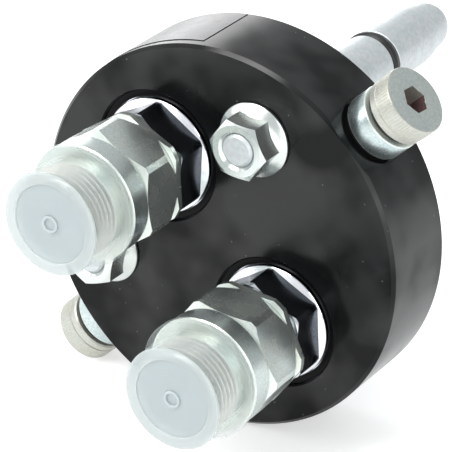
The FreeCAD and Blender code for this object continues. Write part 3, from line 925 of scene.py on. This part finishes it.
@dataclass
class HoseAdapter:
    """A zinc plated adapter: stud, long hexagon, round collar and a thread with a cone seat."""

    corner_turns: Span = (9.3, 48.7)
    width: float = 27.0
    corner: float = 15.15
    rear_face: float = -32.9
    front_face: float = -46.9
    rear_corner: float = 14.75
    front_face_radius: float = 12.0
    front_chamfer: float = 1.7
    groove: float = 13.8
    groove_spans: tuple[float, float, float, float] = (4.4, 2.0, 1.7, 1.3)
    collar: float = 14.0
    collar_face: float = -52.3
    collar_edge: float = 0.35
    collar_overlap: float = 0.2
    end: float = -62.9
    end_land: float = 0.6
    end_chamfer: float = 0.7
    thread: float = 11.0
    thread_core: float = 10.1
    thread_rests: Span = (0.3, 0.4)
    crest_margin: float = 0.1
    pitch: float = 1.5
    undercut: float = 10.0
    undercut_length: float = 2.0
    stud: float = 8.3
    stud_end: float = -22.0
    bore: float = 5.75
    socket: float = 7.55
    socket_depth: float = 7.4
    cone: float = 8.8
    cone_depth: float = 5.9

    @property
    def thread_end(self) -> float:
        """The station where the thread stops and the undercut begins."""
        return self.collar_face - self.undercut_length

    def hexagon(self, line: Line) -> Piece:
        """Return the hexagon, with round corners and a groove turned across them at the rear."""
        lip, floor_start, floor_end, land = (self.rear_face - span for span in self.groove_spans)
        stock = bar("adapter_" + line.value, self.width, self.front_face, self.rear_face,
                    line.pick(self.corner_turns))
        envelope = turned("envelope", [
            (0, self.front_face), (self.front_face_radius, self.front_face),
            (self.corner, self.front_face + self.front_chamfer), (self.corner, lip),
            (self.groove, floor_start), (self.groove, floor_end), (self.rear_corner, land),
            (self.rear_corner, self.rear_face), (0, self.rear_face),
        ], steps=256)
        return combined(stock, envelope, "INTERSECT")

    def round_part(self) -> Piece:
        """Return the collar, the undercut, the thread's core and the stud."""
        return turned("round", [
            *stairs(0, self.end, self.cone + self.end_land),
            (self.thread_core, self.end + self.end_chamfer),
            *stairs(self.thread_core, self.thread_end, self.undercut, self.collar_face,
                    self.collar - self.collar_edge),
            (self.collar, self.collar_face + self.collar_edge), (self.collar, self.front_face),
            (self.stud, self.front_face + self.collar_overlap),
            *stairs(self.stud, self.stud_end, 0),
        ], steps=192)

    def inside(self) -> Piece:
        """Return the cutter for the cone seat, the tube socket and the bore."""
        floor = self.end + self.socket_depth
        return turned("inside", [
            *stairs(0, self.end - OVER, self.cone, self.end),
            (self.socket, self.end + self.cone_depth),
            *stairs(self.socket, floor, self.bore, self.stud_end + OVER, 0),
        ])

    def build(self, line: Line) -> None:
        """Make one adapter and dress it."""
        first, last = self.end + self.thread_rests[0], self.thread_end + self.thread_rests[1]
        ridge = Thread(self.thread_core, self.thread, self.pitch, first, last).ridge()
        threaded = combined(self.round_part(), ridge, "UNION")
        adapter = combined(self.hexagon(line), threaded, "UNION")
        combined(adapter, self.inside(), "DIFFERENCE")
        # Faces that take no other finish keep the zinc painted near white: painted light.
        fitted(adapter, along_plate(line.axis), Finish.LIGHTENED_TURNED_ZINC, "zinc_plated",
               "hose_adapter_" + line.value)
        rear, front, collar, thread = (
            station * MM
            for station in (self.rear_face, self.front_face, self.collar_face, self.thread_end))
        root = (self.thread_core - 2 * self.crest_margin) * MM
        crest = (self.thread - self.crest_margin) * MM
        axis = line.axis
        painted(adapter, Finish.ZINC, lambda middle, normal: (
            front < middle.y < rear and abs(normal.y) < ALONG))
        painted(adapter, Finish.COLLAR_ZINC, lambda middle, normal: (
            collar < middle.y < front and abs(normal.y) < ALONG))
        # The flanks take a darker zinc: painted shade between the turns.
        painted(adapter, Finish.FLANK_ZINC_PAINTED_SHADE, lambda middle, normal: (
            middle.y < thread and (middle - axis).xz.length > root))
        # The crests take a white painted highlight.
        painted(adapter, Finish.CREST_PAINTED_HIGHLIGHT, lambda middle, normal: (
            middle.y < thread and (middle - axis).xz.length > crest))


@dataclass
class ProtectiveCap:
    """A translucent push-on cap with a grip flange and a recessed end."""

    open_end: float = -52.4
    length: float = 12.5
    flange: float = 14.55
    flange_length: float = 2.1
    flange_edge: float = 0.3
    outer: float = 12.3
    bore: float = 11.1
    bore_edge: float = 0.2
    end_wall: float = 1.6
    recess: float = 9.5
    recess_depth: float = 0.3
    recess_draft: float = 0.2
    gate_ring: Span = (1.4, 2.1)
    gate_draft: float = 0.1
    gate_height: float = 0.4
    edge: float = 0.45

    def build(self, line: Line) -> None:
        """Make one cap and dress it."""
        closed = self.open_end - self.length
        floor = closed + self.recess_depth
        gate_top = floor - self.gate_height
        gate_in, gate_out = self.gate_ring
        recess_floor = self.recess - self.recess_draft
        flange_rear = self.open_end - self.flange_length
        rim = self.flange - self.flange_edge
        behind_end = closed + self.end_wall
        cap = turned("cap_" + line.value, [
            (0, floor), (gate_in, floor), (gate_in + self.gate_draft, gate_top),
            (gate_out - self.gate_draft, gate_top), (gate_out, floor),
            (recess_floor, floor), (self.recess, closed),
            *rounded(self.outer, closed, self.edge),
            (self.outer, flange_rear), (rim, flange_rear),
            (self.flange, flange_rear + self.flange_edge),
            (self.flange, self.open_end - self.flange_edge), (rim, self.open_end),
            (self.bore + self.bore_edge, self.open_end),
            (self.bore, self.open_end - self.bore_edge), (self.bore, behind_end), (0, behind_end),
        ], steps=160)
        fitted(cap, along_plate(line.axis), Finish.POLYETHYLENE, "translucent_polyethylene",
               "protective_cap_" + line.value, body=line.value + "_cap", angle=35)
        axis = line.axis
        # The front corners take a paler copy of the polyethylene: painted light.
        painted(cap, Finish.CORNER_POLYETHYLENE, lambda middle, normal: (
            middle.y < (closed + self.edge) * MM
            and (middle - axis).xz.length > recess_floor * MM))
        painted(cap, Finish.THIN_POLYETHYLENE, lambda middle, normal: middle.y > behind_end * MM)


@dataclass
class SnapRing:
    """The flat black ring that holds a body in the plate."""

    inner: float = 14.4
    outer: float = 16.75
    span: Span = (-21.7, -20.5)
    gap: float = 24.0
    gap_height: float = 4.0
    edge: float = 0.15

    def build(self, line: Line) -> None:
        """Make one snap ring and dress it."""
        outline = stairs(self.inner, self.span[0], self.outer, self.span[1], self.inner)
        ring = turned("snap_ring_" + line.value, outline, steps=192)
        reach = self.outer * 2
        opening = 2 * self.inner * math.sin(math.radians(self.gap / 2))
        gap = block("gap", (reach, opening, self.gap_height),
                    (-reach / 2, 0, sum(self.span) / 2), Matrix.Identity(4))
        eased(combined(ring, gap, "DIFFERENCE"), self.edge)
        fitted(ring, along_plate(line.axis), Finish.PHOSPHATE, "black_phosphate", "snap_rings",
               angle=35)


@dataclass
class FlangeNut:
    """A forged flange nut on the threaded end of a guide pin."""

    corner_turns: Span = (49.0, 24.0)
    width: float = 13.0
    seat: float = -22.5
    seat_gap: float = 0.4
    height: float = 8.0
    top_radius: float = 6.2
    flange: float = 8.95
    flange_height: float = 1.1
    flange_edge: float = 0.3
    skirt: float = 0.45
    cone_height: float = 2.6
    bore: float = 4.05
    countersink: float = 0.7

    def hexagon(self, line: Line) -> Piece:
        """Return the hexagon with its corners turned down at the top."""
        top = self.seat - self.height
        corner = self.width / math.sqrt(3)
        rise = (corner - self.top_radius) * math.tan(HEX_CHAMFER)
        nut = bar("flange_nut_" + line.value, self.width, top, self.seat - self.seat_gap,
                  line.pick(self.corner_turns))
        envelope = turned("envelope", [
            *stairs(0, top, self.top_radius), (corner, top + rise), *stairs(corner, self.seat, 0),
        ])
        return combined(nut, envelope, "INTERSECT")

    def skirted_flange(self) -> Piece:
        """Return the round flange and the cone that rises from it to the hexagon."""
        rim, flat = self.flange - self.flange_edge, self.width / 2
        shelf, cone = self.seat - self.flange_height, self.seat - self.cone_height
        return turned("flange", [
            (0, self.seat), (rim, self.seat), (self.flange, self.seat - self.flange_edge),
            (self.flange, shelf + self.flange_edge), (rim, shelf),
            ((self.flange + flat) / 2, shelf - self.skirt), (flat, cone), (0, cone),
        ])

    def build(self, line: Line) -> None:
        """Make one nut and dress it."""
        nut = combined(self.hexagon(line), self.skirted_flange(), "UNION")
        top = self.seat - self.height
        mouth = self.bore + self.countersink
        bore = turned("bore", [
            *stairs(0, top - OVER, mouth, top), (self.bore, top + self.countersink),
            *stairs(self.bore, self.seat + OVER, 0),
        ], steps=96)
        combined(nut, bore, "DIFFERENCE")
        fitted(nut, along_plate(line.pin_axis), Finish.GLOSSY_ZINC, "zinc_plated", "flange_nuts")


@dataclass
class GuidePin:
    """A guide pin with its seal groove, tapered nose and threaded end."""

    radius: float = 7.25
    length: float = 60.7
    edge: float = 0.2
    seat: float = -1.0
    groove: float = 4.95
    groove_span: Span = (28.2, 31.4)
    taper_span: Span = (47.9, 55.2)
    taper_radius: float = 6.0
    tip: float = 2.4
    nose_steps: int = 8
    stud: float = 4.0
    stud_end: float = -30.5
    stud_chamfer: float = 0.7
    stud_relief: float = 0.05
    first_turn: Span = (0.1, 0.4)
    thread_end: float = -22.0
    thread_runout: float = 0.6
    thread_core: float = 3.4
    pitch: float = 1.25

    def nose(self) -> Outline:
        """Return the round shoulder from the taper's end to the small flat tip."""
        points = []
        for step in range(1, self.nose_steps + 1):
            angle = math.radians(90) * step / self.nose_steps
            radius = self.tip + (self.taper_radius - self.tip) * math.cos(angle)
            rise = (self.length - self.taper_span[1]) * math.sin(angle)
            points.append((radius, self.taper_span[1] + rise))
        return points

    def build(self, line: Line) -> None:
        """Make one pin and dress it."""
        worn = self.stud - self.stud_relief
        first = self.stud_end + self.stud_chamfer
        side = self.radius - self.edge
        groove_start, groove_end = self.groove_span
        pin = turned("guide_pin_dressed_" + line.value, [
            *stairs(0, self.stud_end, self.stud - self.stud_chamfer),
            (worn, first - self.stud_relief), (worn, first + self.first_turn[0]),
            (self.thread_core, first + self.first_turn[1]),
            *stairs(self.thread_core, self.thread_end, self.stud, self.seat, side),
            (self.radius, self.seat + self.edge), (self.radius, groove_start - self.edge),
            *stairs(side, groove_start, self.groove, groove_end, side),
            (self.radius, groove_end + self.edge), (self.radius, self.taper_span[0]),
            (self.taper_radius, self.taper_span[1]), *self.nose(), (0, self.length),
        ])
        last = self.thread_end + self.thread_runout
        ridge = Thread(self.thread_core, self.stud, self.pitch, first, last).ridge()
        combined(pin, ridge, "UNION")
        fitted(pin, along_plate(line.pin_axis), Finish.MATT_ZINC, "zinc_plated",
               "guide_pin_" + line.value)


@dataclass
class RollerScrew:
    """A socket-head shoulder screw with a straight-knurled head."""

    seat: float = 46.4
    thread: float = 4.0
    thread_start: float = 30.4
    thread_chamfer: float = 0.5
    shoulder: float = 5.0
    head_span: Span = (55.15, 61.55)
    head: float = 8.15
    under_edge: Span = (0.45, 0.35)
    collar_length: float = 1.9
    collar_relief: float = 0.1
    neck: Span = (0.25, 0.12)
    knurl_rise: float = 0.3
    knurl_depth: float = 0.06
    knurl_edge: float = 0.08
    knurls: int = 72
    knurl_steps: int = 4
    rim: float = 0.3
    socket: float = 6.0
    socket_depth: float = 4.4
    socket_turn: float = 26.0
    socket_reach: float = 3.51
    mouth_depth: float = 0.2
    mouth_over: float = 0.05
    mouth_reach: Span = (-0.1, 0.08)

    def head_blank(self, name: str) -> Piece:
        """Return the head with its plain collar, its knurled band and its chamfered rim."""
        low, high = self.head_span
        collar = self.head - self.collar_relief
        collar_end = low + self.collar_length
        head = turned(name, [
            *stairs(0, self.thread_start, self.thread - self.thread_chamfer),
            (self.thread, self.thread_start + self.thread_chamfer),
            *stairs(self.thread, self.seat, self.shoulder, low, self.head - self.under_edge[0]),
            (collar, low + self.under_edge[1]), (collar, collar_end),
            (self.head - self.neck[0], collar_end + self.neck[1]),
            (self.head, collar_end + self.knurl_rise),
            *reversed(rounded(self.head, high, -self.rim)), (0, high),
        ], steps=self.knurls * self.knurl_steps)
        self.knurl(head)
        return head

    def knurl(self, head: Piece) -> None:
        """Press straight grooves into the smooth head, each over half of its steps."""
        low = self.head_span[0] + self.collar_length + self.knurl_rise
        middle = (low + self.head_span[1] - self.rim) / 2 * MM
        select_only(head)
        bpy.ops.object.mode_set(mode="EDIT")
        bpy.ops.mesh.select_mode(type="FACE")
        bpy.ops.mesh.select_all(action="DESELECT")
        bpy.ops.object.mode_set(mode="OBJECT")
        for face in head.data.polygons:
            centre = face.center
            on_side = centre.xy.length > (self.head - self.knurl_rise) * MM
            if abs(centre.z - middle) < NEAR * MM and on_side:
                turn = math.atan2(centre.y, centre.x) / math.tau * self.knurls * self.knurl_steps
                face.select = math.floor(turn) % self.knurl_steps < self.knurl_steps / 2
        bpy.ops.object.mode_set(mode="EDIT")
        bpy.ops.mesh.inset(
            thickness=self.knurl_edge * MM, depth=-self.knurl_depth * MM, use_individual=False)
        bpy.ops.mesh.select_mode(type="VERT")
        bpy.ops.object.mode_set(mode="OBJECT")

    def socket_mouth(self) -> Piece:
        """Return the cutter for the shallow cone round the socket's mouth."""
        low, high = self.head_span[1] - self.mouth_depth, self.head_span[1] + self.mouth_over
        narrow, wide = (self.socket / 2 + reach for reach in self.mouth_reach)
        return turned("mouth", [*stairs(0, low, narrow), *stairs(wide, high, 0)], steps=64)

    def build(self, side: Side) -> None:
        """Make one screw and dress it."""
        screw = self.head_blank("roller_screw_dressed_" + side.value)
        end = self.head_span[1]
        floor = end - self.socket_depth
        socket = bar("socket", self.socket, floor, end + OVER, self.socket_turn)
        combined(screw, socket, "DIFFERENCE")
        combined(screw, self.socket_mouth(), "DIFFERENCE")
        place = along_screw(side)
        fitted(screw, place, Finish.HEADED_ZINC, "zinc_plated", "roller_screw_" + side.value,
               angle=28)
        axis, foot = place.to_3x3() @ Vector((0, 0, 1)), place.translation
        low, high = (floor - NEAR) * MM, (end - self.mouth_depth - NEAR) * MM
        # The socket's walls take a thin brown-purple plating painted dark as the shade inside.
        painted(screw, Finish.SOCKET_ZINC_PAINTED_SHADE, lambda middle, normal: (
            low < (middle - foot).dot(axis) < high
            and (middle - foot).cross(axis).length < self.socket_reach * MM))
        # The head's end face takes a darker, bluer zinc: painted shade.
        painted(screw, Finish.STRUCK_END_PAINTED_SHADE, lambda middle, normal: (
            (middle - foot).dot(axis) > (end - NEAR) * MM and normal.dot(axis) > SQUARE))


@dataclass
class RollerSet:
    """A ground roller on its screw's shoulder, between two thin black washers."""

    bore: float = 5.05
    roller: float = 8.0
    chamfer: float = 0.4
    roller_span: Span = (47.75, 53.75)
    washer: float = 6.8
    washer_edge: float = 0.12
    washer_spans: tuple[Span, Span] = ((46.4, 47.7), (53.8, 55.1))

    def build(self, side: Side) -> None:
        """Make one roller and its washers, and dress them."""
        low, high = self.roller_span
        place = along_screw(side)
        roller = turned("roller_dressed_" + side.value, [
            (self.bore, low), *rounded(self.roller, low, self.chamfer),
            *reversed(rounded(self.roller, high, -self.chamfer)), (self.bore, high),
        ], steps=160)
        fitted(roller, place, Finish.GROUND, "ground_steel", "roller_" + side.value,
               body=side.value + "_roller", angle=30)
        axis = place.to_3x3() @ Vector((0, 0, 1))
        # The roller's ends and chamfers take the zinc painted near white: painted light.
        painted(roller, Finish.LIGHTENED_TURNED_ZINC, lambda middle, normal: abs(normal.dot(axis)) > ALONG)
        for number, span in enumerate(self.washer_spans, 1):
            name = f"thrust_washer_{side.value}_{number}"
            outline = stairs(self.bore, span[0], self.washer, span[1], self.bore)
            washer = turned(name, outline, steps=96)
            fitted(eased(washer, self.washer_edge), place, Finish.NYLON, "black_nylon",
                   "thrust_washers", angle=35)


@dataclass
class Camera:
    """The place and lens that the photograph was taken with, as solved from its edges."""

    azimuth: float = 32.51
    elevation: float = 26.40
    distance: float = 660.3
    across: float = -9.51
    above: float = -5.41
    lens: float = 221.8
    sensor: float = 36.0
    sight: Span = (50.0, 20000.0)

    def build(self) -> None:
        """Add the camera and make it the scene's own."""
        a, e = math.radians(self.azimuth), math.radians(self.elevation)
        back = Vector((math.sin(a) * math.cos(e), -math.cos(a) * math.cos(e), math.sin(e)))
        right = Vector((math.cos(a), math.sin(a), 0))
        up = back.cross(right)
        place = (right * self.across + up * self.above + back * self.distance) * MM
        data = bpy.data.cameras.new("photograph")
        data.lens = self.lens
        data.sensor_width = self.sensor
        data.clip_start, data.clip_end = (distance * MM for distance in self.sight)
        camera = bpy.data.objects.new("photograph", data)
        bpy.context.scene.collection.objects.link(camera)
        turn = Matrix((right, up, back)).transposed().to_4x4()
        camera.matrix_world = Matrix.Translation(place) @ turn
        bpy.context.scene.camera = camera


@dataclass(frozen=True)
class SoftBox:
    """A square soft light that faces the half: its place and side in millimetres, its watts."""

    name: str
    place: Place
    size: float
    power: float

    def build(self) -> None:
        """Add the light."""
        data = bpy.data.lights.new(self.name, "AREA")
        data.size = self.size * MM
        data.energy = self.power
        lamp = bpy.data.objects.new(self.name, data)
        bpy.context.scene.collection.objects.link(lamp)
        place = Vector(self.place)
        lamp.location = place * MM
        lamp.rotation_mode = "QUATERNION"
        lamp.rotation_quaternion = (-place).to_track_quat("-Z", "Y")


@dataclass
class Studio:
    """A pale glowing table in a white tent, with one strong soft light and four weaker ones."""

    floor_size: float = 4000.0
    floor_colour: str = "#d9dada"
    floor_roughness: float = 0.9
    floor_glow: float = 0.5
    sky_colour: str = "#f4f7f8"
    sky_strength: float = 0.85
    lights: tuple[SoftBox, ...] = (
        SoftBox("softbox_main", (-286, -605, 870), size=560, power=7.0),
        SoftBox("softbox_above", (-150, 60, 1050), size=800, power=3.5),
        SoftBox("softbox_left", (-800, -500, 350), size=500, power=1.5),
        SoftBox("softbox_right", (620, -520, 260), size=500, power=1.8),
        SoftBox("softbox_behind", (-790, 900, 240), size=550, power=2.2),
    )

    def floor(self) -> None:
        """Add the table that the half rests on: opal acrylic, lit a little from below."""
        low, _ = cad_box
        select_only()
        bpy.ops.mesh.primitive_plane_add(size=self.floor_size * MM, location=(0, 0, low.z))
        floor = put(named("studio_floor"), Matrix.Identity(4))
        material = bpy.data.materials.new("acrylic_sheet_opal")
        material.use_nodes = True
        fill(material.node_tree, material.node_tree.nodes["Principled BSDF"], {
            "Base Color": linear(self.floor_colour),
            "Roughness": self.floor_roughness,
            "Emission Color": linear("#ffffff"),
            "Emission Strength": self.floor_glow,
        })
        floor.data.materials.append(material)
        floor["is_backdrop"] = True

    def sky(self) -> None:
        """Set the white surroundings."""
        world = bpy.data.worlds.new("white_tent")
        world.use_nodes = True
        background = world.node_tree.nodes["Background"]
        background.inputs["Color"].default_value = linear(self.sky_colour)
        background.inputs["Strength"].default_value = self.sky_strength
        bpy.context.scene.world = world

    def build(self) -> None:
        """Add the floor, the sky and the lights."""
        self.floor()
        self.sky()
        for light in self.lights:
            light.build()
        view = bpy.context.scene.view_settings
        view.view_transform = "Standard"
        view.look = "None"


def dress_hidden_nodes() -> None:
    """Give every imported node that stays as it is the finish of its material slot."""
    by_slot = {
        "black_anodised": Finish.ANODISED,
        "bright_plated": Finish.BRIGHT,
        "zinc_plated": Finish.MATT_ZINC,
        "ground_steel": Finish.GROUND,
        "spring_steel": Finish.WIRE,
        "black_phosphate": Finish.PHOSPHATE,
        "black_rubber": Finish.RUBBER,
        "black_nylon": Finish.NYLON,
        "translucent_polyethylene": Finish.POLYETHYLENE,
        "black_film": Finish.FILM,
    }
    for entry in frame["record"]["subparts"]:
        node = frame["nodes"][entry["node"]]
        if node.hide_render:
            continue
        node.data.materials.clear()
        node.data.materials.append(by_slot[entry["material_slot"]].material())
        log.info("%s: kept as packed", node.name)


def write_sizes() -> None:
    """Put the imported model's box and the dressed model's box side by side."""
    boxes = {"cad": cad_box, "visual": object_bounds()}
    {name: [list(corner) for corner in box] for name, box in boxes.items()}


def main() -> None:
    """Build every piece in the order in which the half is put together."""
    logging.basicConfig(level=logging.INFO, format="%(name)s: %(message)s")
    Camera().build()
    Studio().build()
    Plate().build()
    for line in Line:
        CouplingBody().build(line)
        SnapRing().build(line)
        HoseAdapter().build(line)
        ProtectiveCap().build(line)
        GuidePin().build(line)
        FlangeNut().build(line)
    for side in Side:
        RollerScrew().build(side)
        RollerSet().build(side)
    dress_hidden_nodes()
    write_sizes()


if __name__ == "__main__":
    main()
